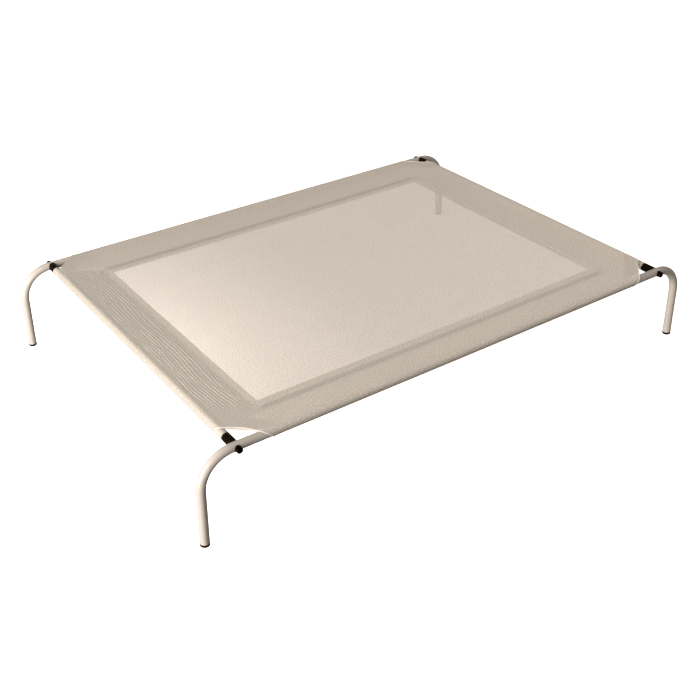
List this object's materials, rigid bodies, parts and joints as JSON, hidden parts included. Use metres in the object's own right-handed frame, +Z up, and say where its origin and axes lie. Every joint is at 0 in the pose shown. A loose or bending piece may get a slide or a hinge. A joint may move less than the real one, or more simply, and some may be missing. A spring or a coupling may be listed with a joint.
{
  "type": "dog bed with frame",
  "caption": "Raised dog bed: a stretched mesh fabric cover on a bolted frame of bent round tube that stands on capped legs.",
  "frame": {"origin": "middle of the footprint, on the floor", "axes": "+X along the long rails, +Y across the bed towards its back rail, +Z up"},
  "size_m": [1.2894, 0.9056, 0.2013],
  "materials": {
    "frame_paint": "gloss",
    "fitting_plastic": "satin",
    "bolt_black": "satin",
    "nut_steel": "satin",
    "foot_plastic": "matte",
    "mesh_fabric": "matte"
  },
  "bodies": {
    "root": {"rail_front": "frame_paint", "rail_back": "frame_paint", "crossbar_left": "frame_paint", "crossbar_right": "frame_paint", "plug_front_left": "fitting_plastic", "washer_front_left": "fitting_plastic", "bolt_front_left": "bolt_black", "nut_front_left": "nut_steel", "foot_cap_front_left": "foot_plastic", "plug_back_left": "fitting_plastic", "washer_back_left": "fitting_plastic", "bolt_back_left": "bolt_black", "nut_back_left": "nut_steel", "foot_cap_back_left": "foot_plastic", "plug_front_right": "fitting_plastic", "washer_front_right": "fitting_plastic", "bolt_front_right": "bolt_black", "nut_front_right": "nut_steel", "foot_cap_front_right": "foot_plastic", "plug_back_right": "fitting_plastic", "washer_back_right": "fitting_plastic", "bolt_back_right": "bolt_black", "nut_back_right": "nut_steel", "foot_cap_back_right": "foot_plastic", "cover_panel": "mesh_fabric", "cover_sleeve_front": "mesh_fabric", "cover_sleeve_back": "mesh_fabric", "cover_sleeve_left": "mesh_fabric", "cover_sleeve_right": "mesh_fabric"}
  },
  "joints": []
}
